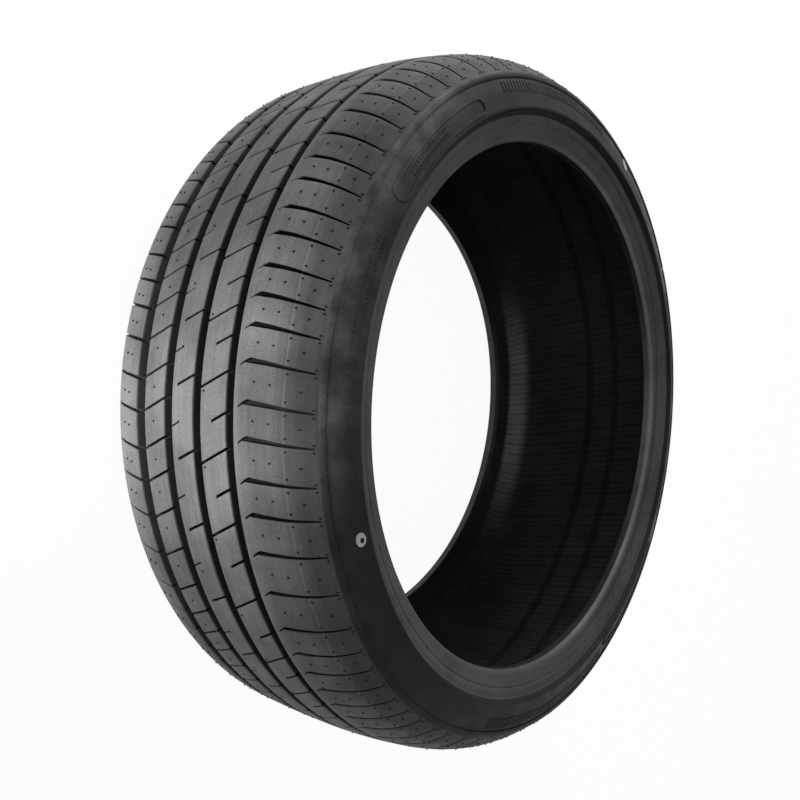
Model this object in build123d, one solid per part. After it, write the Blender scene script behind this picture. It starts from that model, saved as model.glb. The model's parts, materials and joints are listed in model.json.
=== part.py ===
"""Car tyre: one moulded ring of rubber, lying on its inner sidewall with its spin axis on Z.

Radii are taken from the spin axis and heights from the middle of the tread, so that one half
section serves both sidewalls. The finished ring is then raised until it rests on Z = 0.
The casing is revolved. The tread repeats in pitches of four lengths and runs straight across
each of them, so its blocks have flat faces and their corners lie on the true circle.
"""

import os

from build123d import *

# Overall sizes of the tyre, off its rim
SEAT_DIAMETER = 487.4
SECTION_HEIGHT = 86.8
SECTION_WIDTH = 247.2

# Tread: a crown arc to a bend on each side, then a straight shoulder down to a small step at the edge
OUTER_CROWN_RADIUS = 455.0
OUTER_BEND_HEIGHT = 92.0
OUTER_BEND_DROP = 11.3
INNER_CROWN_RADIUS = 1000.0
INNER_BEND_HEIGHT = 93.5
INNER_BEND_DROP = 7.9
TREAD_WIDTH = 226.0
EDGE_DROP = 27.4
EDGE_STEP = 1.1

# Four grooves round the tread, as centre height and width, inner side first
GROOVES = ((-55.2, 12.7), (-18.6, 10.7), (15.2, 9.5), (49.2, 8.1))
GROOVE_DEPTH = 7.5
GROOVE_DRAFT = 1.5

# Pitches of the tread in four lengths, in the order they follow each other round the tyre
PITCH_ORDER = "SSSSMXXLMLMLMSSMSMSMLMMMMLMSMLMSLMMXLSMM"
PITCH_ORDER += "LSMLLMSMLXMSMLMMSLMLMSMXLMMSLMLSMMLSMS"
PITCH_SHARES = {"S": 6, "M": 7, "L": 8, "X": 9}
FIRST_SLOT_ANGLE = 227.7

# Angles from the outer shoulder's slot: the first three follow it and the last comes before the next one
CORNER_ANGLE = 1.5
INNER_SLOT_ANGLE = 3.6
RIB_2_SIPE_ANGLE = 4.0
RIB_4_SIPE_ANGLE = 2.0

# Slots across the shoulders: widths at the two ends, depth at the first, and sideways lean
SLOT_DEPTH = 5.2
SLOT_END_GAP = 2.0
INNER_SLOT_END_RISE = 6.4
OUTER_SLOT_START = 62.0
OUTER_SLOT_WIDTHS = (3.8, 1.6)
OUTER_SLOT_LEAN = 7.0
INNER_SLOT_WIDTHS = (2.8, 1.4)
INNER_SLOT_LEAN = -11.0

# Narrow sipes across the second and fourth ribs
SIPE_WIDTH = 1.6
SIPE_DEPTH = 5.0
SIPE_RUN_OUT = 2.0
RIB_2_SIPE_LEAN = -13.0
RIB_4_SIPE_LEAN = -14.0

# Sidewall and bead: shares of the section height above the seat, and widths over both sides
RIDGE_RISE = 0.29
BULGE_RISE = 0.5
BULGE_WIDTH = 238.4
FLANGE_RISE = 0.182
FLANGE_WIDTH = 233.0
BEAD_SPREAD = 222.2
BEAD_BASE = 14.5

# Hollow inside
TREAD_THICKNESS = 17.0
LINER_WIDTH = 150.0
WALL_THICKNESS = 9.5
CAVITY_RISE = 0.53
TOE_RISE = 0.142

SEAT_RADIUS = SEAT_DIAMETER / 2
OUTER_RADIUS = SEAT_RADIUS + SECTION_HEIGHT
EDGE_RADIUS = OUTER_RADIUS - EDGE_DROP
LINER_RADIUS = OUTER_RADIUS - TREAD_THICKNESS
TREAD_EDGE = TREAD_WIDTH / 2
CAVITY_WIDTH = FLANGE_WIDTH - 2 * WALL_THICKNESS
CLEAR_RADIUS = OUTER_RADIUS + GROOVE_DEPTH


def crown(height):
    """Radius of the tread's crown at a height."""
    radius = OUTER_CROWN_RADIUS if height > 0 else INNER_CROWN_RADIUS
    return OUTER_RADIUS - height**2 / (2 * radius)


def groove_points(centre, width):
    """Section of one groove, from its lower lip to its upper lip."""
    low, high = centre - width / 2, centre + width / 2
    floor = crown(centre) - GROOVE_DEPTH
    lips = [(crown(low), low), (crown(high), high)]
    return [lips[0], (floor, low + GROOVE_DRAFT), (floor, high - GROOVE_DRAFT), lips[1]]


def mirrored(points):
    """The same points on the inner side, in reverse order."""
    return [(radius, -height) for radius, height in reversed(points)]


def skin(loops, closed):
    """Solid with flat faces from each loop of points to the next, closed into a ring or capped."""
    pairs = list(zip(loops, loops[1:]))
    if closed:
        pairs.append((loops[-1], loops[0]))
        faces = []
    else:
        faces = [Face(Wire.make_polygon(loop)) for loop in (loops[0], loops[-1])]
    for first, second in pairs:
        for i in range(len(first)):
            faces.append(Face(Wire.make_polygon([first[i - 1], first[i], second[i], second[i - 1]])))
    return Solid(Shell(faces))


def casing():
    """Sidewalls, beads and liner, revolved, with the top hidden inside the tread."""
    upper = [
        (LINER_RADIUS + 3 * EDGE_STEP, LINER_WIDTH / 2),
        (EDGE_RADIUS - EDGE_STEP, TREAD_EDGE),
        (SEAT_RADIUS + BULGE_RISE * SECTION_HEIGHT, BULGE_WIDTH / 2),
        (SEAT_RADIUS + RIDGE_RISE * SECTION_HEIGHT, SECTION_WIDTH / 2),
        (SEAT_RADIUS + FLANGE_RISE * SECTION_HEIGHT, FLANGE_WIDTH / 2),
        (SEAT_RADIUS, BEAD_SPREAD / 2),
        (SEAT_RADIUS, BEAD_SPREAD / 2 - BEAD_BASE),
        (SEAT_RADIUS + TOE_RISE * SECTION_HEIGHT, CAVITY_WIDTH / 2),
        (SEAT_RADIUS + CAVITY_RISE * SECTION_HEIGHT, CAVITY_WIDTH / 2),
        (LINER_RADIUS, LINER_WIDTH / 2),
    ]
    with BuildPart() as ring:
        with BuildSketch(Plane.XZ):
            with BuildLine():
                Polyline(*upper, *mirrored(upper), close=True)
            make_face()
        revolve(axis=Axis.Z)
    return ring.part


def pitches():
    """Angle of the outer slot that starts each pitch, and the angle that the pitch takes up."""
    shares = [PITCH_SHARES[letter] for letter in PITCH_ORDER]
    angle = FIRST_SLOT_ANGLE
    for share in shares:
        size = 360 * share / sum(shares)
        yield angle, size
        angle -= size


def tread():
    """Ring of ribs and grooves, straight across each pitch."""
    edge = [
        (EDGE_RADIUS, TREAD_EDGE),
        (EDGE_RADIUS - 3 * EDGE_STEP, TREAD_EDGE),
        (LINER_RADIUS + EDGE_STEP, LINER_WIDTH / 2),
    ]
    ribs = [point for groove in GROOVES for point in groove_points(*groove)]
    outer_bend = (OUTER_RADIUS - OUTER_BEND_DROP, OUTER_BEND_HEIGHT)
    inner_bend = (OUTER_RADIUS - INNER_BEND_DROP, -INNER_BEND_HEIGHT)
    section = [*ribs, outer_bend, *edge, *mirrored(edge), inner_bend]
    loops = []
    for angle, _ in pitches():
        corner = angle - CORNER_ANGLE
        loops.append([Vector(radius, 0, height).rotate(Axis.Z, corner) for radius, height in section])
    return skin(loops, closed=True)


def slot(heights, lean, widths, floors):
    """Cutter for a straight-sided slot, from the height, width and floor radius of its two ends."""
    loops = []
    for height, shift, width, floor in zip(heights, (-lean / 2, lean / 2), widths, floors):
        half = width / 2
        sides = [(floor, -half), (floor, half), (CLEAR_RADIUS, half), (CLEAR_RADIUS, -half)]
        loops.append([Vector(radius, shift + side, height) for radius, side in sides])
    return skin(loops, closed=False)


def sipe(number, lean):
    """Cutter for a narrow sipe with sloping sides, right across one of the ribs between grooves."""
    (below, below_width), (above, above_width) = GROOVES[number - 2 : number]
    heights = (below + below_width / 2 - SIPE_RUN_OUT, above - above_width / 2 + SIPE_RUN_OUT)
    floor = crown(sum(heights) / 2) - SIPE_DEPTH
    half = SIPE_WIDTH / 2 * (CLEAR_RADIUS - floor) / SIPE_DEPTH
    loops = []
    for height, shift in zip(heights, (-lean / 2, lean / 2)):
        sides = [(floor, 0), (CLEAR_RADIUS, half), (CLEAR_RADIUS, -half)]
        loops.append([Vector(radius, shift + side, height) for radius, side in sides])
    return skin(loops, closed=False)


def cutters():
    """Every slot and sipe of the tread pattern, turned to its pitch."""
    end = TREAD_EDGE - SLOT_END_GAP
    outer_floors = (crown(OUTER_SLOT_START) - SLOT_DEPTH, EDGE_RADIUS + SLOT_END_GAP)
    outer_slot = slot((OUTER_SLOT_START, end), OUTER_SLOT_LEAN, OUTER_SLOT_WIDTHS, outer_floors)
    inner_start = GROOVES[0][0]
    inner_floors = (crown(inner_start) - SLOT_DEPTH, EDGE_RADIUS + INNER_SLOT_END_RISE)
    inner_slot = slot((inner_start, -end), INNER_SLOT_LEAN, INNER_SLOT_WIDTHS, inner_floors)
    rib_2_sipe = sipe(2, RIB_2_SIPE_LEAN)
    rib_4_sipe = sipe(4, RIB_4_SIPE_LEAN)
    for index, (angle, size) in enumerate(pitches()):
        yield outer_slot.rotate(Axis.Z, angle)
        yield inner_slot.rotate(Axis.Z, angle - INNER_SLOT_ANGLE)
        yield rib_2_sipe.rotate(Axis.Z, angle - RIB_2_SIPE_ANGLE)
        if index % 2:
            yield rib_4_sipe.rotate(Axis.Z, angle - size + RIB_4_SIPE_ANGLE)


os.makedirs("parts", exist_ok=True)
tyre = casing().fuse(tread()).cut(*cutters())
export_step(Pos(0, 0, SECTION_WIDTH / 2) * tyre, "parts/tyre.step")
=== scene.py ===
"""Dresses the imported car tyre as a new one: moulded tread, ridged sidewalls, vent stubs and paint marks.

The tyre is drawn flat and then wrapped. A flat sheet covers one pitch of the tread and runs round the
whole section: X goes along the pitch, Y follows the section's path from the middle of the tread, and Z
is the lift off the surface. Flat sizes are in millimetres, and wrapping turns them into metres in the
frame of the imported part, where the spin axis is Z.
"""

import json
import logging
import math
from bisect import bisect_left
from dataclasses import dataclass
from enum import Enum
from functools import cached_property, reduce
from operator import neg
from typing import Any, Iterable, Iterator, NamedTuple

import bmesh
import bpy
import numpy as np
from bmesh.types import BMesh, BMVert
from bpy.types import Material, Object
from mathutils import Matrix, Vector


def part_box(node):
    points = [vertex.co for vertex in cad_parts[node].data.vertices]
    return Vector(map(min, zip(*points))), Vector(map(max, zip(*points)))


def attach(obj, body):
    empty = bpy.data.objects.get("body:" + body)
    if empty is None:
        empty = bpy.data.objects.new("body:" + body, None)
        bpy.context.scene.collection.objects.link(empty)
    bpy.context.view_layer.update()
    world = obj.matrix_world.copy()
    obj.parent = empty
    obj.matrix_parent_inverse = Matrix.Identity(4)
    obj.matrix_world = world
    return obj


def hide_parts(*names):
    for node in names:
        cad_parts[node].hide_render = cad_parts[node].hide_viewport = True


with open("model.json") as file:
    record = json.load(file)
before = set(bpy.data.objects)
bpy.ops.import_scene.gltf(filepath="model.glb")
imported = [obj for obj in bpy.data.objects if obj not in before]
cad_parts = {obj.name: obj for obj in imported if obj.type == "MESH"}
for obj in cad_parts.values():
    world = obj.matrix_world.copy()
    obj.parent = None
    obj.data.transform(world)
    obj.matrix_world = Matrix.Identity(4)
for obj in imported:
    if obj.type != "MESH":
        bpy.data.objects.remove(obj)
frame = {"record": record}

LOG = logging.getLogger("tyre")
MM = 0.001
MM_PER_METRE = 1000.0
BODY = "root"
DEPTH_LAYER = "depth"
NODE = "tyre"
PHOTO_WIDTH = 800
BLACK = (0.0, 0.0, 0.0, 1.0)
WHITE = (1.0, 1.0, 1.0, 1.0)
# Numbers of a Mix node's two colour inputs and of its colour output
MIX_FIRST, MIX_SECOND, MIX_RESULT = 6, 7, 2
SMOOTH_ANGLE = 30.0
# Angles round the spin axis, in degrees, that the photograph shows at the top and on the right
TOP = 90.0
RIGHT = 0.0
# Levels between which a noise texture mostly stays
NOISE_RANGE = (0.3, 0.7)
# Distances on a flat sheet, in millimetres, at which points touch and at which they become one
TOUCH = 0.001
MERGE = 0.005

Span = tuple[float, float]
Key = str | int
Settings = dict[str, Any] | None
Inputs = dict[Key, Any] | None


class Zone(Enum):
    """Parts of the rubber that take their own finish, in the order of the mesh's material slots."""

    TREAD = 0
    SIDEWALL = 1
    BEAD = 2
    # The far bead's base, paler as painted light
    BASE = 3
    LINER = 4


class Step(NamedTuple):
    """A smooth step: where it starts and ends, and the levels before and after it."""

    start: float
    end: float
    low: float = 0.0
    high: float = 1.0


class Value:
    """A shader socket that takes part in Python expressions."""

    def __init__(self, graph: "Graph", socket: bpy.types.NodeSocket) -> None:
        """Keeps the socket and the graph it belongs to."""
        self.graph = graph
        self.socket = socket

    def math(self, operation: str, *others: Any) -> "Value":
        """Adds a Math node of this value and others."""
        return self.graph.math(operation, self, *others)

    def __add__(self, other: Any) -> "Value":
        """Adds."""
        return self.math("ADD", other)

    __radd__ = __add__

    def __mul__(self, other: Any) -> "Value":
        """Multiplies."""
        return self.math("MULTIPLY", other)

    __rmul__ = __mul__

    def __sub__(self, other: Any) -> "Value":
        """Subtracts."""
        return self.math("SUBTRACT", other)

    def __rsub__(self, other: Any) -> "Value":
        """Subtracts this value from another."""
        return self.graph.math("SUBTRACT", other, self)

    def ramp(self, start: float, end: float, low: float = 0.0, high: float = 1.0) -> "Value":
        """Smooth step from one level at the start to another at the end."""
        stops = {"Value": self, "From Min": start, "From Max": end, "To Min": low, "To Max": high}
        return self.graph.value("ShaderNodeMapRange", {"interpolation_type": "SMOOTHSTEP"}, stops)

    def band(self, middle: float, width: float, level: float, rest: float, core: float = 0.0) -> "Value":
        """Smooth step from a level in a band, kept over a core share of its width, to the rest."""
        return (self - middle).math("ABSOLUTE").ramp(core * width / 2, width / 2, level, rest)


class Graph:
    """Node tree of a material or a world."""

    def __init__(self, tree: bpy.types.NodeTree) -> None:
        """Starts from an empty tree."""
        self.tree = tree
        tree.nodes.clear()

    def node(self, kind: str, settings: Settings = None, inputs: Inputs = None) -> bpy.types.Node:
        """Adds a node.

        Args:
            kind: The node's type.
            settings: Properties that are set first.
            inputs: Socket names or numbers, with the value or link of each.

        Returns:
            The new node.
        """
        node = self.tree.nodes.new(kind)
        for name, setting in (settings or {}).items():
            setattr(node, name, setting)
        for key, given in (inputs or {}).items():
            if isinstance(given, Value):
                self.tree.links.new(given.socket, node.inputs[key])
            else:
                node.inputs[key].default_value = given
        return node

    def value(self, kind: str, settings: Settings = None, inputs: Inputs = None, output: Key = 0) -> Value:
        """Adds a node and takes one of its outputs, by name or number."""
        return Value(self, self.node(kind, settings, inputs).outputs[output])

    def math(self, operation: str, *operands: Any) -> Value:
        """Adds a Math node of values and numbers."""
        return self.value("ShaderNodeMath", {"operation": operation}, dict(enumerate(operands)))


@dataclass
class Place:
    """A point of the tyre, in Object coordinates and round the spin axis."""

    graph: Graph
    middle: float
    upper_part: Step = Step(0.45, 0.85)

    @cached_property
    def point(self) -> Value:
        """Object coordinates, in metres."""
        return self.graph.value("ShaderNodeTexCoord", output="Object")

    @cached_property
    def axes(self) -> list[Value]:
        """The coordinates one by one."""
        split = self.graph.node("ShaderNodeSeparateXYZ", None, {0: self.point})
        return [Value(self.graph, output) for output in split.outputs]

    @cached_property
    def height(self) -> Value:
        """Height over the middle plane, in millimetres."""
        return (self.axes[2] - self.middle) * MM_PER_METRE

    @cached_property
    def radius(self) -> Value:
        """Distance from the spin axis, in millimetres."""
        x, y, _ = self.axes
        return (x * x + y * y).math("SQRT") * MM_PER_METRE

    @cached_property
    def angle(self) -> Value:
        """Angle round the spin axis, in radians."""
        x, y, _ = self.axes
        return y.math("ARCTAN2", x)

    @cached_property
    def upper(self) -> Value:
        """How far the point lies in the upper part of the tyre, from 0 to 1."""
        return self.facing(TOP).ramp(*self.upper_part)

    def facing(self, angle: float) -> Value:
        """Cosine of the turn between the point and an angle in degrees."""
        return (self.angle - math.radians(angle)).math("COSINE")

    def noise(self, scale: float, across: float = 1.0) -> Value:
        """Noise between 0 and 1.

        Args:
            scale: Number of spots in a metre.
            across: How many times as many lie along the spin axis, which draws the spots out round it.

        Returns:
            The noise.
        """
        stretched = {0: self.point, 1: (1.0, 1.0, across)}
        point = self.graph.value("ShaderNodeVectorMath", {"operation": "MULTIPLY"}, stretched)
        settings = {"Vector": point, "Scale": scale, "Detail": 3.0, "Roughness": 0.55}
        return self.graph.value("ShaderNodeTexNoise", None, settings)

    def blotches(self, scale: float, low: float, high: float, across: float = 1.0) -> Value:
        """Noise that spreads from one level to another."""
        return self.noise(scale, across).ramp(*NOISE_RANGE, low, high)


@dataclass(frozen=True)
class Finish:
    """Matt finish with soft blotches, fine specks and a grain."""

    name: str
    grey: float
    roughness: float
    specular: float = 0.2
    mottle: float = 0.3
    mottle_scale: float = 22.0
    speckle: float = 0.25
    grain_scale: float = 700.0
    grain_depth: float = 0.06
    rough_spread: float = 0.05
    rough_scale: float = 60.0

    def tone(self, place: Place) -> Value:
        """Share of the full grey: soft blotches and fine specks."""
        specks = place.blotches(self.grain_scale, 1.0 - self.speckle, 1.0)
        return place.blotches(self.mottle_scale, 1.0 - self.mottle, 1.0) * specks

    def relief(self, place: Place) -> Value:
        """Height of the grain, in millimetres."""
        return place.noise(self.grain_scale) * self.grain_depth

    def material(self, middle: float) -> Material:
        """Builds the finish.

        Args:
            middle: Height of the tyre's middle plane.

        Returns:
            The material.
        """
        material = bpy.data.materials.new(self.name)
        material.use_nodes = True
        graph = Graph(material.node_tree)
        place = Place(graph, middle)
        low, high = self.roughness - self.rough_spread, self.roughness + self.rough_spread
        relief = {"Strength": 1.0, "Distance": MM, "Height": self.relief(place)}
        grey = (self.grey, self.grey, self.grey, 1.0)
        # A tone over 1 is paler than the full grey, so the factor isn't clamped
        mix = {"data_type": "RGBA", "clamp_factor": False}
        greys = {"Factor": self.tone(place), MIX_FIRST: BLACK, MIX_SECOND: grey}
        inputs = {
            "Base Color": graph.value("ShaderNodeMix", mix, greys, MIX_RESULT),
            "Roughness": place.blotches(self.rough_scale, low, high),
            "Specular IOR Level": self.specular,
            "Normal": graph.value("ShaderNodeBump", None, relief),
        }
        shader = graph.value("ShaderNodeBsdfPrincipled", None, inputs)
        graph.node("ShaderNodeOutputMaterial", None, {"Surface": shader})
        return material


@dataclass(frozen=True)
class TreadRubber(Finish):
    """Tread compound: painted shade on the outer shoulder and in the cuts, painted highlights on the inner
    side, bend and outer rib.
    """

    # Steps of the tone by height: painted shade towards the outer shoulder and over it, and a painted
    # highlight towards the inner side
    rib_shade: Step = Step(48.0, 70.0, 1.0, 0.64)
    shoulder: Step = Step(80.0, 104.0, 1.0, 0.5)
    inner: Step = Step(-90.0, -58.0, 1.7, 1.0)
    # Painted highlight along the bend: its height, width and level
    bend_highlight: float = 93.0
    bend_highlight_width: float = 2.4
    bend_highlight_level: float = 1.45
    # Painted light on the outer rib: its angle, its edge by the cosine of the turn from there, its gain by
    # height
    dusty_angle: float = 156.0
    dusty_side: Step = Step(0.955, 0.995)
    dust: Step = Step(48.0, 70.0, 0.0, 0.9)
    # Painted shade: a cut turns black with its depth, and the share that is left changes with the height,
    # more of it on the inner side as a painted reflection
    cut: Step = Step(0.2, 1.7)
    cut_shade_share: Step = Step(-60.0, 0.0, 0.2, 0.05)
    streak: float = 0.18
    streak_scale: float = 12.0
    streak_across: float = 22.0

    def tone(self, place: Place) -> Value:
        """Share of the full grey: streaks, painted shade towards the outer shoulder and down the cuts,
        painted highlights on the inner side, the bend and part of the outer rib.

        Args:
            place: The point.

        Returns:
            The share.
        """
        height = place.height
        # Painted shade towards the outer shoulder, and a painted highlight towards the inner side
        painted_light = height.ramp(*self.rib_shade) * height.ramp(*self.shoulder) * height.ramp(*self.inner)
        # Painted highlight along the bend
        bend = height.band(self.bend_highlight, self.bend_highlight_width, self.bend_highlight_level, 1.0)
        # Painted light on the outer rib round one angle
        dust = place.facing(self.dusty_angle).ramp(*self.dusty_side) * height.ramp(*self.dust)
        # Painted shade down the cuts, by the depth stored in the mesh
        depth = place.graph.value("ShaderNodeAttribute", {"attribute_name": DEPTH_LAYER}, output="Fac")
        sunk = depth.ramp(*self.cut) * (1.0 - height.ramp(*self.cut_shade_share))
        streaks = place.blotches(self.streak_scale, 1.0 - self.streak, 1.0, self.streak_across)
        return super().tone(place) * painted_light * (1.0 + dust) * bend * streaks * (1.0 - sunk)


@dataclass(frozen=True)
class SidewallRubber(Finish):
    """Sidewall compound, with pale dust in patches towards the tread, most of it on one side, and painted
    shade in the corner over the flange.
    """

    # Dust: size of its patches, their edge in a noise, and its gain by radius
    dust_scale: float = 34.0
    patches: Step = Step(0.36, 0.66)
    dust: Step = Step(272.0, 298.0, 0.0, 0.5)
    # Film of dust on one side: its angle, its edge by the cosine of the turn from there, its share in the
    # patches, and its gain by radius
    dusty_angle: float = 150.0
    dusty_side: Step = Step(0.72, 0.97)
    film_patches: Step = Step(0.36, 0.66, 0.35, 1.0)
    film: Step = Step(272.0, 298.0, 1.15, 3.91)
    # Painted shade by radius in the corner over the flange, where the tyre's upper part faces down
    painted_corner: Step = Step(269.4, 270.8, 0.7, 0.0)

    def tone(self, place: Place) -> Value:
        """Share of the full grey: rises in patches towards the tread, with painted shade in the corner over
        the flange.

        Args:
            place: The point.

        Returns:
            The share.
        """
        radius = place.radius
        noise = place.noise(self.dust_scale)
        dust = noise.ramp(*self.patches) * radius.ramp(*self.dust)
        film = noise.ramp(*self.film_patches) * radius.ramp(*self.film)
        side = place.facing(self.dusty_angle).ramp(*self.dusty_side)
        # Painted shade in the corner on the upper part
        painted_corner = place.upper * radius.ramp(*self.painted_corner)
        return super().tone(place) * (1.0 + dust + side * film) * (1.0 - painted_corner)


@dataclass(frozen=True)
class BeadRubber(Finish):
    """Bead compound, with a painted highlight along the heel and a ring of painted shade that climbs from
    it on one side.
    """

    # Painted shade by radius in the corner under the ridge, where the tyre's upper part faces down
    painted_corner: Step = Step(265.0, 265.9, 0.0, 0.92)
    # Painted highlight along the heel by radius, and on which side it and the ring of painted shade show,
    # by the cosine of the angle
    heel_highlight: Step = Step(245.2, 248.2, 1.0, 0.0)
    heel_highlight_side: Step = Step(-0.1, 0.5, 0.3, 1.3)
    ring_shade_side: Step = Step(-0.1, 0.5)
    # Ring of painted shade: its radius, its climb towards the top, its width and its loss of tone
    ring_shade_radius: float = 251.6
    ring_shade_rise: float = 8.0
    ring_shade_width: float = 7.0
    ring_shade_loss: float = 0.35

    def tone(self, place: Place) -> Value:
        """Share of the full grey: a painted highlight along the heel, and painted shade in the ring above
        it and in the corner under the ridge.

        Args:
            place: The point.

        Returns:
            The share.
        """
        radius = place.radius
        side = place.facing(RIGHT)
        # Painted highlight along the heel
        heel_highlight = radius.ramp(*self.heel_highlight) * side.ramp(*self.heel_highlight_side)
        # Painted shade in a ring that climbs towards the top
        climb = place.facing(TOP).math("MAXIMUM", 0.0) * self.ring_shade_rise
        ring = (radius - climb).band(self.ring_shade_radius, self.ring_shade_width, self.ring_shade_loss, 0.0)
        ring = ring * side.ramp(*self.ring_shade_side)
        # Painted shade in the corner under the ridge on the upper part
        painted_corner = place.upper * radius.ramp(*self.painted_corner)
        return super().tone(place) * (1.0 + heel_highlight) * (1.0 - ring) * (1.0 - painted_corner)


@dataclass(frozen=True)
class LinerRubber(Finish):
    """Inner liner, with the slanted ribs that the curing bladder leaves in bands round it, painted shade at
    its top and foot and painted light on one side.
    """

    # Ribs: their number, turn in radians over a metre of height, wander and depth
    ribs: int = 138
    lean: float = 0.5
    wander: float = 0.012
    wander_scale: float = 90.0
    rib_depth: float = 0.35
    # Main gaps between the ribs and the finer ones, by the sine of a rib's turn, and their loss of tone
    main_gap: Step = Step(0.75, 0.99)
    fine_gap: Step = Step(0.8, 1.0, 0.0, 0.5)
    gap_loss: float = 0.35
    # Dark lines round the liner: heights, width, the share of the width that is fully dark, and level
    dark_lines: tuple[float, ...] = (33.0, -3.0)
    line_width: float = 13.0
    line_core: float = 0.5
    line_level: float = 0.55
    # Painted light on the corners, by height and radius, and a painted highlight on the faces of the beads,
    # by radius
    painted_corner: Step = Step(86.0, 99.0)
    painted_corner_gain: Step = Step(280.0, 289.0, 0.0, 5.0)
    bead_face: Step = Step(255.0, 263.0, 1.0, 0.0)
    bead_highlight_gain: float = 1.7
    # Painted shade at the top and foot, and both ends of the part with painted light between them, by the
    # cosine of the turn from the top
    top: Step = Step(0.2, 0.9, 1.0, 0.35)
    foot: Step = Step(-0.95, -0.4, 0.6, 1.0)
    painted_lit_start: Step = Step(-0.7, -0.2)
    painted_lit_end: Step = Step(0.0, 0.5, 1.0, 0.0)

    def bead(self, place: Place) -> Value:
        """How far a point lies on the bead's smooth inner face: 1 on it and 0 on the liner."""
        return place.radius.ramp(*self.bead_face)

    def gaps(self, place: Place) -> Value:
        """Gaps between the ribs: 1 in a main gap, less in the finer ones between and 0 on a rib.

        Args:
            place: The point.

        Returns:
            How far it lies in a gap.
        """
        wander = place.noise(self.wander_scale) * self.wander
        turn = (place.angle - place.height * (self.lean * MM) + wander) * float(self.ribs)
        main = turn.math("SINE").ramp(*self.main_gap)
        fine = (turn + math.pi).math("SINE").ramp(*self.fine_gap)
        return main.math("MAXIMUM", fine) * (1.0 - self.bead(place))

    def tone(self, place: Place) -> Value:
        """Share of the full grey: dark gaps and lines, painted shade at the top and foot, and painted light
        on the corners and bead faces of the part between.

        Args:
            place: The point.

        Returns:
            The share.
        """
        tone = super().tone(place) * (1.0 - self.gaps(place) * self.gap_loss)
        for line in self.dark_lines:
            tone = tone * place.height.band(line, self.line_width, self.line_level, 1.0, self.line_core)
        # Painted shade at the top and foot, and painted light on the corners and bead faces of the part
        # between
        upwards = place.facing(TOP)
        ends = upwards.ramp(*self.top) * upwards.ramp(*self.foot)
        lit = upwards.ramp(*self.painted_lit_start) * upwards.ramp(*self.painted_lit_end)
        painted_corner = place.height.math("ABSOLUTE").ramp(*self.painted_corner) * place.radius.ramp(*self.painted_corner_gain)
        return tone * ends * (1.0 + lit * (painted_corner + self.bead(place) * self.bead_highlight_gain))

    def relief(self, place: Place) -> Value:
        """Height of the bladder's ribs and the grain, in millimetres."""
        return super().relief(place) - self.gaps(place) * self.rib_depth


@dataclass(frozen=True)
class Groove:
    """One groove round the tread."""

    centre: float
    width: float
    draft: float = 1.5
    depth: float = 7.5

    def lips(self) -> Span:
        """Heights of the two lips."""
        return self.centre - self.width / 2, self.centre + self.width / 2

    def feet(self) -> Span:
        """Heights at which the walls reach the floor."""
        low, high = self.lips()
        return low + self.draft, high - self.draft


class Station(NamedTuple):
    """A slot's place past the outer slot, width and depth at one height of the tread."""

    height: float
    place: float
    width: float
    depth: float


class Sipe(NamedTuple):
    """A narrow cut through a place of a rib: its run along the rib for each step up, width and depth."""

    height: float
    place: float
    lean: float
    width: float
    depth: float

    def stations(self, start: float, end: float) -> list[Station]:
        """The cut's two ends, at these heights."""
        places = (self.place + self.lean * (height - self.height) for height in (start, end))
        return [Station(*ends, self.width, self.depth) for ends in zip((start, end), places)]


@dataclass(frozen=True)
class Slot:
    """Cut across a rib of a flat sheet, straight between heights that rise."""

    heights: tuple[float, ...]
    places: tuple[float, ...]
    widths: tuple[float, ...]
    depths: tuple[float, ...]

    def edge(self, height: float, sign: int) -> Vector:
        """Point of one side of the slot at a height."""
        half = np.interp(height, self.heights, self.widths) / 2
        return Vector((np.interp(height, self.heights, self.places) + sign * half, height, 0.0))

    def holds(self, point: Vector) -> bool:
        """Whether a point of the sheet lies inside the slot's outline."""
        level = self.heights[0] < point.y < self.heights[-1]
        return level and self.edge(point.y, -1).x < point.x < self.edge(point.y, 1).x

    def carve(self, sheet: BMesh) -> None:
        """Cuts the slot into a sheet that already has edges along its heights.

        Args:
            sheet: The flat sheet.
        """
        for low, high in zip(self.heights, self.heights[1:]):
            for sign in (-1, 1):
                start = self.edge(low, sign)
                along = self.edge(high, sign) - start
                crossed = [face for face in sheet.faces if low < face.calc_center_median().y < high]
                parts = {part for face in crossed for part in (face, *face.edges, *face.verts)}
                bmesh.ops.bisect_plane(
                    sheet, geom=list(parts), plane_co=start, plane_no=(along.y, -along.x, 0.0), dist=TOUCH
                )
        floor = [face for face in sheet.faces if self.holds(face.calc_center_median())]
        sunk = bmesh.ops.extrude_face_region(sheet, geom=floor)["geom"]
        bmesh.ops.delete(sheet, geom=floor, context="FACES")
        for vert in (part for part in sunk if isinstance(part, BMVert)):
            vert.co.z = min(vert.co.z, -np.interp(vert.co.y, self.heights, self.depths))
        bmesh.ops.remove_doubles(sheet, verts=sheet.verts, dist=MERGE)


class Shoulder(NamedTuple):
    """One side of the tread: radius of its crown, spreads at both ends of its bend, slope past the bend."""

    crown: float
    start: float
    end: float
    slope: float


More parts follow.
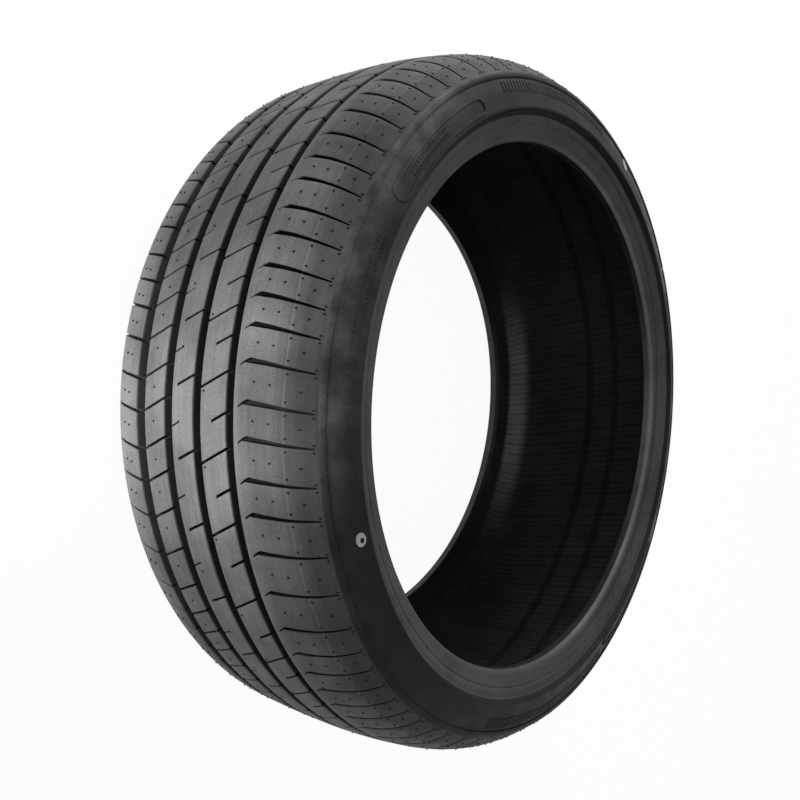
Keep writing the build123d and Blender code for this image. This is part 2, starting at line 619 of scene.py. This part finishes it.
@dataclass
class Section:
    """Path round the tyre's section, with radii from the spin axis and heights over the middle plane."""

    outer_radius: float
    seat_radius: float
    half_width: float
    tread_edge: float = 113.0
    edge_drop: float = 27.4
    outer: Shoulder = Shoulder(455.0, 60.0, 103.0, 0.767)
    inner: Shoulder = Shoulder(1000.0, 74.0, 109.0, 1.25)
    # Wall from the tread edge to the middle of the liner: rise over the seat, setback from the widest line
    wall: tuple[Span, ...] = (
        (59.4, 10.6), (57.6, 9.5), (55.2, 8.6), (54.2, 8.5), (53.6, 9.3), (51.3, 8.3), (46.3, 6.2),
        (41.8, 4.4), (37.5, 3.1), (33.3, 1.9), (29.5, 0.5), (28.0, 0.0), (26.9, 0.1), (26.3, 0.8),
        (25.4, 2.6), (24.4, 4.1), (23.0, 4.8), (21.4, 4.8), (18.4, 5.6), (15.9, 6.6), (15.4, 7.1),
        (14.8, 7.2), (14.3, 7.0), (11.3, 7.9), (8.7, 8.9), (6.5, 9.7), (4.3, 10.6), (2.4, 11.8),
        (1.0, 13.1), (0.2, 14.6), (0.0, 16.0), (0.0, 20.4), (0.3, 21.3), (1.2, 21.6), (6.3, 20.2),
        (12.3, 17.6), (17.3, 16.6), (45.3, 16.8), (53.3, 22.1), (62.3, 33.6), (67.8, 43.6),
        (69.7, 53.6), (69.8, 73.6), (69.8, 98.6), (69.8, 123.6),
    )

    def __post_init__(self) -> None:
        """Works out how far along the path each point of the wall lies."""
        self.points = [(self.seat_radius + rise, self.half_width - back) for rise, back in self.wall]
        self.marks = [self.tread_edge]
        for first, second in zip(self.points, self.points[1:]):
            self.marks.append(self.marks[-1] + math.dist(first, second))

    def shoulder(self, height: float) -> Shoulder:
        """Side of the tread at a height."""
        return self.outer if height > 0 else self.inner

    def crown(self, height: float) -> float:
        """Radius of the crown's arc at a height."""
        return self.outer_radius - height**2 / (2 * self.shoulder(height).crown)

    def tread_radius(self, height: float) -> float:
        """Radius of the tread's surface: crown, rounded bend and straight shoulder.

        Args:
            height: Height over the middle plane.

        Returns:
            The radius.
        """
        spread = abs(height)
        crown, start, end, slope = self.shoulder(height)
        if spread <= start:
            return self.crown(height)
        edge = self.outer_radius - self.edge_drop
        foot = edge + slope * (self.tread_edge - end)
        if spread >= end:
            return edge + slope * (self.tread_edge - spread)
        # Bezier arc that leaves the crown and joins the shoulder without a corner
        lean = start / crown
        brow = self.crown(math.copysign(start, height))
        turn = (brow + lean * start - foot - slope * end) / (lean - slope)
        top = brow - lean * (turn - start)
        a, b = start - 2 * turn + end, 2 * (turn - start)
        t = (-b + math.sqrt(b * b - 4 * a * (start - spread))) / (2 * a)
        return (1 - t) ** 2 * brow + 2 * t * (1 - t) * top + t * t * foot

    def along_wall(self, path: float) -> tuple[float, float, float, float]:
        """Point of the wall and the direction that faces out of it.

        Args:
            path: Distance along the path from the middle of the tread, on the outer side.

        Returns:
            Radius and height of the point, then of the direction.
        """
        index = bisect_left(self.marks, path, 1, len(self.marks) - 1) - 1
        (r0, z0), (r1, z1) = self.points[index : index + 2]
        length = self.marks[index + 1] - self.marks[index]
        share = (path - self.marks[index]) / length
        return r0 + (r1 - r0) * share, z0 + (z1 - z0) * share, (z1 - z0) / length, -(r1 - r0) / length

    def at(self, path: float, lift: float) -> Span:
        """Radius and height of a point of the sheet.

        Args:
            path: Signed distance along the section's path, where the tread keeps its heights.
            lift: Lift off the surface.

        Returns:
            The radius and the height.
        """
        if abs(path) <= self.tread_edge:
            return self.tread_radius(path) + lift, path
        radius, height, out_radius, out_height = self.along_wall(abs(path))
        sign = math.copysign(1.0, path)
        return radius + lift * out_radius, sign * (height + lift * out_height)

    def path_at(self, rise: float) -> float:
        """Distance along the path to the first point of the wall that lies this far over the seat.

        Args:
            rise: How far over the seat.

        Returns:
            The distance from the middle of the tread.
        """
        index = next(i for i, (found, _) in enumerate(self.wall) if found <= rise)
        (above, _), (below, _) = self.wall[index - 1 : index + 1]
        share = (above - rise) / (above - below)
        return self.marks[index - 1] + share * (self.marks[index] - self.marks[index - 1])


@dataclass
class Pitch:
    """One repeat of the tread pattern, as a flat sheet that runs round the whole section."""

    section: Section
    length: float
    odd: bool
    columns: int = 3
    # Round of a lip, and how far the rubber has to drop past an edge to make it one
    lip_round: float = 0.4
    lip_drop: float = 0.3
    grooves: tuple[Groove, ...] = (
        Groove(-55.2, 12.7), Groove(-18.6, 10.7), Groove(15.2, 9.5), Groove(49.2, 8.1)
    )
    # How far the sheet's first edge lies past the outer slot, at the feet of the second and fourth grooves
    leads: tuple[float, ...] = (5.8, -2.9, -2.9, 5.8)
    rib_lines: tuple[float, ...] = (
        -111.0, -109.0, -106.0, -103.0, -100.0, -97.0, -94.0, -91.0, -88.0, -84.0, -80.0, -76.0, -70.0,
        -38.0, -8.0, -4.0, 2.0, 25.0, 31.0, 38.0, 57.0, 61.0, 65.0, 68.0, 74.0, 80.0, 84.0, 88.0, 91.0,
        94.0, 97.0, 100.0, 103.0, 107.0, 111.0,
    )
    # Cuts placed from the slot that starts the pitch
    inner_slot: tuple[Station, ...] = (Station(-111.0, 23.4, 1.5, 0.8), Station(-60.05, 13.6, 3.0, 5.2))
    rib_2_sipe: Sipe = Sipe(-36.6, 20.1, 0.42, 2.4, 5.0)
    # Cuts placed from the slot that ends the pitch
    rib_3_sipe: Sipe = Sipe(0.0, -16.7, 0.42, 2.4, 4.0)
    rib_3_sipe_start: float = -8.0
    rib_3_notch: Sipe = Sipe(-10.0, -19.9, 0.45, 1.5, 1.8)
    rib_3_notch_end: float = -4.0
    rib_4_sipe: Sipe = Sipe(33.0, -14.4, 0.48, 2.4, 5.0)
    rib_4_short_start: float = 31.0
    outer_slot: tuple[Station, ...] = (
        Station(57.0, -3.2, 1.4, 2.8), Station(61.0, -0.6, 1.8, 3.6), Station(65.0, 0.3, 4.2, 5.6),
        Station(80.0, -1.5, 3.5, 5.4), Station(100.0, -4.8, 2.3, 4.2), Station(111.0, -6.6, 1.5, 1.4),
    )
    # Numbers of the wall's points at which the flange, the bead's base and the liner start
    zone_points: tuple[int, int, int] = (15, 29, 32)

    def lead(self, path: float) -> float:
        """How far the sheet's first edge lies past the outer slot, at a place along the section's path."""
        return np.interp(path, self.grooves[1].feet() + self.grooves[3].feet(), self.leads)

    def cut(self, stations: Iterable[Station], origin: float = 0.0) -> Slot:
        """A slot in the sheet's own places.

        Args:
            stations: Its stations, by rising height.
            origin: Where their places are counted from, past the outer slot that starts the pitch.

        Returns:
            The slot.
        """
        heights, places, widths, depths = zip(*stations)
        shift = origin - self.lead(sum(heights) / len(heights))
        return Slot(heights, tuple(place + shift for place in places), widths, depths)

    def slots(self) -> Iterator[Slot]:
        """Slots and sipes of the pattern, inner rib first: the middle ribs take turns.

        Returns:
            The slots one by one.
        """
        first, second, third, fourth = (groove.feet() for groove in self.grooves)
        yield self.cut(self.inner_slot)
        yield self.cut(self.rib_2_sipe.stations(first[1], second[0]))
        if self.odd:
            yield self.cut(self.rib_3_sipe.stations(self.rib_3_sipe_start, third[0]), self.length)
            yield self.cut(self.rib_4_sipe.stations(third[1], fourth[0]), self.length)
        else:
            yield self.cut(self.rib_3_notch.stations(second[1], self.rib_3_notch_end), self.length)
            yield self.cut(self.rib_4_sipe.stations(self.rib_4_short_start, fourth[0]), self.length)
        yield self.cut(self.outer_slot, self.length)

    def stations(self) -> list[float]:
        """Places along the section's path at which the sheet needs an edge, lowest first."""
        lines = [line for groove in self.grooves for line in groove.lips() + groove.feet()]
        return sorted({*lines, *self.rib_lines, *self.section.marks, *map(neg, self.section.marks)})

    def zone(self, path: float) -> Zone:
        """Part of the rubber at a place.

        Args:
            path: Place along the section's path.

        Returns:
            The part.
        """
        spread = abs(path)
        flange, base, liner = (self.section.marks[number] for number in self.zone_points)
        if spread < self.section.tread_edge:
            return Zone.TREAD
        if spread < flange:
            return Zone.SIDEWALL
        if spread < base:
            return Zone.BEAD
        # Only the far bead's base takes the paler base finish, as painted light; the near one takes the
        # liner's
        return Zone.BASE if path < 0 and spread < liner else Zone.LINER

    def sheet(self) -> BMesh:
        """Builds the flat sheet.

        Returns:
            The sheet, with its slots, grooves and rounded lips.
        """
        sheet = bmesh.new()
        end = self.section.marks[-1]
        spread = Matrix.Translation((self.length / 2, 0, 0)) @ Matrix.Diagonal((self.length, 2 * end, 1, 1))
        bmesh.ops.create_grid(sheet, x_segments=self.columns, y_segments=1, size=0.5, matrix=spread)
        for station in self.stations():
            parts = [*sheet.verts, *sheet.edges, *sheet.faces]
            line = (0, station, 0)
            bmesh.ops.bisect_plane(sheet, geom=parts, plane_co=line, plane_no=(0, 1, 0), dist=TOUCH)
        for groove in self.grooves:
            low, high = groove.feet()
            floor = [vert for vert in sheet.verts if low - TOUCH < vert.co.y < high + TOUCH]
            bmesh.ops.translate(sheet, verts=floor, vec=(0, 0, -groove.depth))
        for slot in self.slots():
            slot.carve(sheet)
        self.round_lips(sheet)
        for face in sheet.faces:
            face.material_index = self.zone(face.calc_center_median().y).value
        return sheet

    def round_lips(self, sheet: BMesh) -> None:
        """Rounds the lips of the grooves and slots.

        Args:
            sheet: The flat sheet.
        """
        lips = []
        for edge in sheet.edges:
            on_top = all(abs(vert.co.z) < TOUCH for vert in edge.verts)
            lows = [min(vert.co.z for vert in face.verts) < -self.lip_drop for face in edge.link_faces]
            if on_top and len(lows) == 2 and lows[0] != lows[1]:
                lips.append(edge)
        bmesh.ops.bevel(
            sheet, geom=lips, offset=self.lip_round, offset_type="OFFSET", segments=2, profile=0.5,
            affect="EDGES", clamp_overlap=True, material=-1,
        )


@dataclass
class Wrapping:
    """Carries flat shapes onto the tyre."""

    section: Section
    middle: float

    def point(self, flat: Vector, start: float) -> Vector:
        """Places a flat point on the tyre.

        Args:
            flat: The point, in millimetres.
            start: Angle at which its X is 0, in degrees.

        Returns:
            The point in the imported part's frame, in metres.
        """
        radius, height = self.section.at(flat.y, flat.z)
        angle = math.radians(start) - flat.x / self.section.outer_radius
        across = radius * MM
        return Vector((across * math.cos(angle), across * math.sin(angle), height * MM + self.middle))

    def wrap(self, verts: Iterable[BMVert], start: float) -> None:
        """Moves flat vertices onto the tyre, from the angle at which their X is 0."""
        for vert in verts:
            vert.co = self.point(vert.co, start)

    def on_wall(self, rise: float, length: float, width: float, lift: float) -> Matrix:
        """Matrix that gives a flat unit shape its sizes, this far over the seat on the outer wall."""
        size = (length * self.section.outer_radius / (self.section.seat_radius + rise), width, lift, 1)
        return Matrix.Translation((0, self.section.path_at(rise), 0)) @ Matrix.Diagonal(size)


class PitchLength(Enum):
    """The four lengths of a pitch, as shares of the way round the tyre."""

    S = 6
    M = 7
    L = 8
    X = 9


@dataclass(frozen=True)
class Pattern:
    """Pitches of the tread, in the order in which they follow each other round the tyre."""

    around: float
    order: str = (
        "SSSSMXXLMLMLMSSMSMSMLMMMMLMSMLMSLMMXLSMM"
        "LSMLLMSMLXMSMLMMSLMLMSMXLMMSLMLSMMLSMS"
    )
    first_slot: float = 227.2

    def pitches(self) -> Iterator[tuple[float, float, bool]]:
        """Goes through the pitches.

        Returns:
            Start angle and length of each, and whether its turn is an odd one.
        """
        shares = [PitchLength[letter].value for letter in self.order]
        start = self.first_slot
        for index, part in enumerate(shares):
            share = part / sum(shares)
            yield start, share * self.around, bool(index % 2)
            start -= 360 * share


def finished(
    name: str, mould: BMesh, materials: list[Material], smooth_angle: float = SMOOTH_ANGLE
) -> Object:
    """Turns a bmesh into a piece of the object.

    Args:
        name: The piece's name.
        mould: Its mesh, which is turned outwards and freed.
        materials: Finishes in the order of the faces' slots.
        smooth_angle: Angle in degrees past which an edge stays sharp.

    Returns:
        The piece's object.
    """
    bmesh.ops.recalc_face_normals(mould, faces=mould.faces)
    mesh = bpy.data.meshes.new(name)
    mould.to_mesh(mesh)
    mould.free()
    for material in materials:
        mesh.materials.append(material)
    mesh.shade_smooth()
    mesh.set_sharp_from_angle(angle=math.radians(smooth_angle))
    piece = bpy.data.objects.new(name, mesh)
    bpy.context.scene.collection.objects.link(piece)
    return piece


@dataclass
class Tyre:
    """The moulded tyre in one piece."""

    wrapping: Wrapping
    pattern: Pattern
    smooth_angle: float = 32.0
    weld: float = 0.02
    tread: TreadRubber = TreadRubber("tread_rubber", 0.16, 0.65, 0.12)
    sidewall: SidewallRubber = SidewallRubber("sidewall_rubber", 0.021, 0.5, 0.06)
    bead: BeadRubber = BeadRubber("bead_rubber", 0.076, 0.5, 0.05)
    # Paler finish for the far bead's base only: painted light
    base: Finish = Finish("bead_base_rubber", 0.23, 0.55, 0.1)
    liner: LinerRubber = LinerRubber("liner_rubber", 0.05, 0.7, 0.015)

    def build(self) -> Object:
        """Moulds the tyre.

        Returns:
            The tyre's object.
        """
        moulds: dict[tuple[float, bool], bpy.types.Mesh] = {}
        ring = bmesh.new()
        depth = ring.verts.layers.float.new(DEPTH_LAYER)
        for start, length, odd in self.pattern.pitches():
            pitch = Pitch(self.wrapping.section, length, odd)
            if (length, odd) not in moulds:
                sheet = pitch.sheet()
                moulds[length, odd] = bpy.data.meshes.new("pitch")
                sheet.to_mesh(moulds[length, odd])
                sheet.free()
            before = len(ring.verts)
            ring.from_mesh(moulds[length, odd])
            ring.verts.ensure_lookup_table()
            added = ring.verts[before:]
            for vert in added:
                vert[depth] = max(0.0, -vert.co.z)
                vert.co.x += pitch.lead(vert.co.y)
            self.wrapping.wrap(added, start)
        bmesh.ops.remove_doubles(ring, verts=ring.verts, dist=self.weld * MM)
        for mesh in moulds.values():
            bpy.data.meshes.remove(mesh)
        finishes = [self.tread, self.sidewall, self.bead, self.base, self.liner]
        materials = [finish.material(self.wrapping.middle) for finish in finishes]
        return finished("moulded_tyre", ring, materials, self.smooth_angle)


class Vent(NamedTuple):
    """A vent of the mould: its height, and its place in the pitch as a share of it and a step past that."""

    height: float
    share: float
    step: float


@dataclass
class VentStubs:
    """Short stubs that the mould's vents leave on the tread and the flange."""

    wrapping: Wrapping
    pattern: Pattern
    every_pitch: tuple[Vent, ...] = (
        Vent(70.6, 0.5, 0.0), Vent(83.0, 0.44, 0.0), Vent(94.2, 1.0, -8.3), Vent(94.2, 0.0, 1.5),
        Vent(103.0, 0.31, 0.0), Vent(110.8, 1.0, -9.6), Vent(110.8, 1.0, -3.8), Vent(-36.8, 0.0, 7.2),
        Vent(-72.0, 0.0, 2.0), Vent(-79.0, 0.0, 3.6),
    )
    even_pitch: Vent = Vent(-5.0, 0.0, 8.6)
    odd_pitch: Vent = Vent(23.0, 0.0, 6.6)
    flange_rise: float = 15.1
    flange_step: float = 8.0
    sides: int = 6
    foot_radius: float = 0.95
    tip_radius: float = 0.75
    lift: float = 0.7
    sink: float = 0.3
    smooth_angle: float = 40.0
    rubber: Finish = Finish("vent_rubber", 0.014, 0.6, 0.1)

    def stub(self, stubs: BMesh, seat: Matrix, start: float) -> None:
        """Adds one stub.

        Args:
            stubs: The piece's mesh.
            seat: Its place on the flat sheet.
            start: Angle at which the sheet's X is 0, in degrees.
        """
        made = bmesh.ops.create_cone(
            stubs, cap_ends=True, segments=self.sides, radius1=self.foot_radius, radius2=self.tip_radius,
            depth=self.lift + self.sink, matrix=seat,
        )
        self.wrapping.wrap(made["verts"], start)

    def build(self) -> Object:
        """Sets the stubs in every pitch and along the flange.

        Returns:
            The stubs' object.
        """
        stubs = bmesh.new()
        middle = (self.lift - self.sink) / 2
        for start, length, odd in self.pattern.pitches():
            for vent in (*self.every_pitch, self.odd_pitch if odd else self.even_pitch):
                place = (vent.share * length + vent.step, vent.height, middle)
                self.stub(stubs, Matrix.Translation(place), start)
        seat = self.wrapping.on_wall(self.flange_rise, 1.0, 1.0, 1.0)
        for index in range(round(360 / self.flange_step)):
            self.stub(stubs, seat, index * self.flange_step)
        rubber = self.rubber.material(self.wrapping.middle)
        return finished("vent_stubs", stubs, [rubber], self.smooth_angle)


@dataclass
class WearBars:
    """Low bars across the grooves that show how far the tread is worn."""

    wrapping: Wrapping
    grooves: tuple[Groove, ...]
    angles: tuple[float, ...] = (180.2, 120.2, 60.2, 0.2, 300.2, 240.2)
    length: float = 9.0
    lift: float = 1.6
    sink: float = 0.4
    # Near-black grey: painted shade of the grooves that the bars stand in
    rubber: Finish = Finish("groove_rubber", 0.01, 0.65, 0.1)

    def build(self) -> Object:
        """Lays one bar in each groove at each angle.

        Returns:
            The bars' object.
        """
        bars = bmesh.new()
        for angle in self.angles:
            for groove in self.grooves:
                low, high = groove.feet()
                middle = (0, groove.centre, (self.lift - self.sink) / 2 - groove.depth)
                size = (self.length, high - low, self.lift + self.sink, 1)
                made = bmesh.ops.create_cube(
                    bars, size=1.0, matrix=Matrix.Translation(middle) @ Matrix.Diagonal(size)
                )
                self.wrapping.wrap(made["verts"], angle)
        return finished("wear_bars", bars, [self.rubber.material(self.wrapping.middle)])


class BarRow(NamedTuple):
    """A row of plain bars: angles of its ends, rises of the bars' feet and tops, angle of a step, width."""

    first: float
    last: float
    foot: float
    top: float
    step: float
    width: float


@dataclass
class SidewallRelief:
    """Raised work on the outer sidewall: rows of plain bars and round-ended panels."""

    wrapping: Wrapping
    rubber: SidewallRubber
    rows: tuple[BarRow, ...] = (
        BarRow(70.0, 106.0, 41.0, 51.0, 1.0, 2.2), BarRow(250.0, 292.0, 41.0, 51.0, 1.0, 2.2),
        BarRow(150.0, 189.0, 33.2, 35.4, 0.75, 1.6), BarRow(150.0, 189.0, 38.0, 40.2, 0.75, 1.6),
        BarRow(330.0, 384.0, 33.2, 35.4, 0.75, 1.6), BarRow(330.0, 384.0, 38.0, 40.2, 0.75, 1.6),
        BarRow(126.0, 137.0, 34.0, 36.0, 0.75, 1.6), BarRow(126.0, 137.0, 38.5, 40.5, 0.75, 1.6),
    )
    bar_lift: float = 0.5
    # Each panel: angles of its two ends, and the rises of its two long sides
    panels: tuple[tuple[float, float, float, float], ...] = (
        (112.0, 141.5, 29.5, 45.5), (292.0, 321.5, 29.5, 45.5)
    )
    panel_line: float = 2.2
    panel_lift: float = 0.9
    round_steps: int = 24
    panel_parts: int = 24

    def bars(self, relief: BMesh) -> None:
        """Adds the rows of bars.

        Args:
            relief: The piece's mesh.
        """
        for row in self.rows:
            size = self.wrapping.on_wall(
                (row.foot + row.top) / 2, row.width, row.top - row.foot, 2 * self.bar_lift
            )
            for index in range(round((row.last - row.first) / row.step) + 1):
                made = bmesh.ops.create_cube(relief, size=1.0, matrix=size)
                self.wrapping.wrap(made["verts"], row.first + index * row.step)

    def panel(self, relief: BMesh, first: float, last: float, low: float, high: float) -> None:
        """Adds the raised outline of a panel with round ends.

        Args:
            relief: The piece's mesh.
            first: Angle of its first end.
            last: Angle of its last end.
            low: Rise of its lower side over the seat.
            high: Rise of its upper side.
        """
        section = self.wrapping.section
        width = high - low
        stretch = section.outer_radius / (section.seat_radius + (low + high) / 2)
        straight = math.radians(last - first) * section.outer_radius - width * stretch
        outline = bmesh.new()
        bmesh.ops.create_circle(outline, cap_ends=True, segments=self.round_steps, radius=width / 2)
        bmesh.ops.scale(outline, verts=outline.verts, vec=(stretch, 1, 1))
        far = [vert for vert in outline.verts if vert.co.x > TOUCH]
        bmesh.ops.translate(outline, verts=far, vec=(straight, 0, 0))
        rim = bmesh.ops.inset_region(
            outline, faces=outline.faces, thickness=self.panel_line, use_boundary=True, use_even_offset=True
        )["faces"]
        bmesh.ops.delete(outline, geom=[face for face in outline.faces if face not in rim], context="FACES")
        for part in range(1, self.panel_parts):
            parts = [*outline.verts, *outline.edges, *outline.faces]
            bmesh.ops.bisect_plane(
                outline, geom=parts, plane_co=(straight * part / self.panel_parts, 0, 0), plane_no=(1, 0, 0)
            )
        raised = bmesh.ops.extrude_face_region(outline, geom=outline.faces)["geom"]
        tops = [part for part in raised if isinstance(part, BMVert)]
        bmesh.ops.translate(outline, verts=tops, vec=(0, 0, self.panel_lift))
        bmesh.ops.translate(outline, verts=outline.verts, vec=(0, section.path_at((low + high) / 2), 0))
        self.wrapping.wrap(outline.verts, last)
        mesh = bpy.data.meshes.new("panel")
        outline.to_mesh(mesh)
        outline.free()
        relief.from_mesh(mesh)
        bpy.data.meshes.remove(mesh)

    def build(self) -> Object:
        """Raises the bars and the panels.

        Returns:
            The relief's object.
        """
        relief = bmesh.new()
        self.bars(relief)
        for panel in self.panels:
            self.panel(relief, *panel)
        return finished("sidewall_relief", relief, [self.rubber.material(self.wrapping.middle)])


class Dab(NamedTuple):
    """A dab of paint: angle, rise over the seat, sizes round the tyre and along the wall, bare share."""

    name: str
    angle: float
    rise: float
    length: float
    width: float
    bare: float


@dataclass
class PaintMarks:
    """Paint dabs from the factory on the outer sidewall."""

    wrapping: Wrapping
    dabs: tuple[Dab, ...] = (
        Dab("paint_ring", 195.9, 35.7, 11.0, 8.6, 0.4),
        Dab("paint_dot", 57.9, 46.2, 10.0, 16.0, 0.0),
        Dab("paint_edge_dot", 28.7, 50.5, 5.0, 10.0, 0.0),
    )
    # How far a ring's bare middle lies off its centre, as a share of its size
    off_centre: tuple[float, float, float] = (-0.08, 0.1, 0.0)
    sides: int = 28
    lift: float = 0.2
    paint: Finish = Finish("grey_paint", 0.4, 0.6)

    def mark(self, dab: Dab) -> Object:
        """Paints one dab.

        Args:
            dab: Its place and sizes.

        Returns:
            The dab's object.
        """
        mark = bmesh.new()
        solid = not dab.bare
        bmesh.ops.create_circle(mark, cap_ends=solid, cap_tris=solid, segments=self.sides, radius=0.5)
        if dab.bare:
            hole = bmesh.ops.create_circle(mark, segments=self.sides, radius=dab.bare / 2)["verts"]
            bmesh.ops.translate(mark, verts=hole, vec=self.off_centre)
            bmesh.ops.bridge_loops(mark, edges=mark.edges)
        bmesh.ops.translate(mark, verts=mark.verts, vec=(0, 0, 1))
        seat = self.wrapping.on_wall(dab.rise, dab.length, dab.width, self.lift)
        bmesh.ops.transform(mark, matrix=seat, verts=mark.verts)
        self.wrapping.wrap(mark.verts, dab.angle)
        return finished(dab.name, mark, [self.paint.material(self.wrapping.middle)])

    def build(self) -> list[Object]:
        """Paints the dabs."""
        return [self.mark(dab) for dab in self.dabs]


@dataclass(frozen=True)
class PhotoCamera:
    """Camera of the photograph, fitted in the tyre's own frame."""

    target: Vector
    distance: float = 0.924
    azimuth: float = 53.612
    elevation: float = 4.467
    yaw: float = 3.031
    pitch: float = -0.111
    focal_pixels: float = 901.58
    sensor: float = 36.0

    @staticmethod
    def turned(first: Vector, second: Vector, degrees: float) -> tuple[Vector, Vector]:
        """Turns two directions at right angles, the first one towards the second."""
        cosine, sine = math.cos(math.radians(degrees)), math.sin(math.radians(degrees))
        return first * cosine + second * sine, second * cosine - first * sine

    def build(self) -> Object:
        """Adds the camera.

        Returns:
            The camera's object.
        """
        azimuth, elevation = math.radians(self.azimuth), math.radians(self.elevation)
        level = math.cos(elevation)
        back = Vector((-math.sin(azimuth) * level, math.sin(elevation), math.cos(azimuth) * level))
        right = Vector((0, 1, 0)).cross(back).normalized()
        up = back.cross(right)
        position = self.target + back * self.distance
        back, right = self.turned(back, right, self.yaw)
        back, up = self.turned(back, up, self.pitch)
        data = bpy.data.cameras.new("photo_camera")
        data.sensor_width = self.sensor
        data.lens = self.focal_pixels * self.sensor / PHOTO_WIDTH
        camera = bpy.data.objects.new("photo_camera", data)
        camera.matrix_world = Matrix.Translation(position) @ Matrix((right, up, back)).transposed().to_4x4()
        bpy.context.scene.collection.objects.link(camera)
        bpy.context.scene.camera = camera
        return camera


class Lamp(NamedTuple):
    """A soft panel: place from the tyre's middle, width, height, power in watts, spread in degrees."""

    name: str
    offset: tuple[float, float, float]
    width: float
    height: float
    power: float
    spread: float


@dataclass
class Studio:
    """White floor, soft lamps and the world round them."""

    target: Vector
    white_rays: tuple[str, str, str] = ("Is Camera Ray", "Is Glossy Ray", "Is Transmission Ray")
    floor_size: float = 12.0
    floor_grey: float = 0.9
    shadow_share: float = 0.05
    world_level: float = 0.52
    # Share of the white surroundings, by the upward part of a direction
    walls: Step = Step(0.35, 0.7, 1.0, 0.0)
    lamps: tuple[Lamp, ...] = (
        Lamp("tread_panel", (-0.58, 0.02, 0.03), 0.06, 0.28, 0.47, 90.0),
        Lamp("top_panel", (0.35, 1.42, 0.42), 1.2, 0.6, 21.0, 180.0),
    )

    def white_share(self, graph: Graph) -> Value:
        """Share of rays that see the plain white background: 1 or 0."""
        seen = (graph.value("ShaderNodeLightPath", output=ray) for ray in self.white_rays)
        return reduce(lambda first, second: first.math("MAXIMUM", second), seen)

    def floor(self) -> Object:
        """Lays the floor.

        Returns:
            The floor's object.
        """
        sheet = bmesh.new()
        bmesh.ops.create_grid(sheet, x_segments=1, y_segments=1, size=self.floor_size / 2)
        material = bpy.data.materials.new("white_floor")
        material.use_nodes = True
        graph = Graph(material.node_tree)
        grey = (self.floor_grey, self.floor_grey, self.floor_grey, 1.0)
        lit = graph.value("ShaderNodeBsdfDiffuse", None, {"Color": grey})
        white = graph.value("ShaderNodeEmission", None, {"Color": WHITE, "Strength": 1.0})
        share = self.white_share(graph) * (1.0 - self.shadow_share)
        mixed = graph.value("ShaderNodeMixShader", None, {0: share, 1: lit, 2: white})
        graph.node("ShaderNodeOutputMaterial", None, {"Surface": mixed})
        return finished("floor", sheet, [material])

    def light(self) -> None:
        """Hangs the lamps and sets the world's level."""
        for lamp in self.lamps:
            data = bpy.data.lights.new(lamp.name, "AREA")
            data.shape = "RECTANGLE"
            data.size, data.size_y, data.energy = lamp.width, lamp.height, lamp.power
            data.spread = math.radians(lamp.spread)
            panel = bpy.data.objects.new(lamp.name, data)
            panel.location = self.target + Vector(lamp.offset)
            panel.rotation_euler = Vector(lamp.offset).to_track_quat("Z", "Y").to_euler()
            panel.visible_camera = False
            bpy.context.scene.collection.objects.link(panel)
        world = bpy.data.worlds.new("studio")
        world.use_nodes = True
        bpy.context.scene.world = world
        graph = Graph(world.node_tree)
        dim = graph.value("ShaderNodeBackground", None, {"Color": WHITE, "Strength": self.world_level})
        white = graph.value("ShaderNodeBackground", None, {"Color": WHITE, "Strength": 1.0})
        direction = graph.value("ShaderNodeTexCoord", output="Generated")
        upwards = graph.value("ShaderNodeSeparateXYZ", None, {0: direction}, "Z")
        share = self.white_share(graph) * upwards.ramp(*self.walls)
        mixed = graph.value("ShaderNodeMixShader", None, {0: share, 1: dim, 2: white})
        graph.node("ShaderNodeOutputWorld", None, {"Surface": mixed})


def main() -> None:
    """Builds the tyre, its marks and the studio, with sizes taken from the imported part and its record."""
    logging.basicConfig(level=logging.INFO, format="%(name)s: %(message)s")
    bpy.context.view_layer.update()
    low, high = (Vector(painted_corner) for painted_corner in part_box(NODE))
    seat = next(mount for mount in frame["record"]["mounts"] if mount["name"] == "rim_seat")
    middle = (low.z + high.z) / 2
    section = Section((high.x - low.x) / 2 / MM, seat["dims"]["r_mm"], (high.z - low.z) / 2 / MM)
    wrapping = Wrapping(section, middle)
    pattern = Pattern(2 * math.pi * section.outer_radius)
    tyre = Tyre(wrapping, pattern)
    body = tyre.build()
    pieces = [
        body,
        VentStubs(wrapping, pattern).build(),
        WearBars(wrapping, Pitch.grooves).build(),
        SidewallRelief(wrapping, tyre.sidewall).build(),
        *PaintMarks(wrapping).build(),
    ]
    for piece in pieces:
        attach(piece, BODY)
        triangles = sum(len(face.vertices) - 2 for face in piece.data.polygons)
        LOG.info("%s: %d triangles", piece.name, triangles)
    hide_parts(NODE)
    target = Vector((0, 0, middle))
    studio = Studio(target)
    studio.floor()
    studio.light()
    PhotoCamera(target).build()
    bpy.context.scene.view_settings.view_transform = "Standard"
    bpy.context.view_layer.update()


if __name__ == "__main__":
    main()
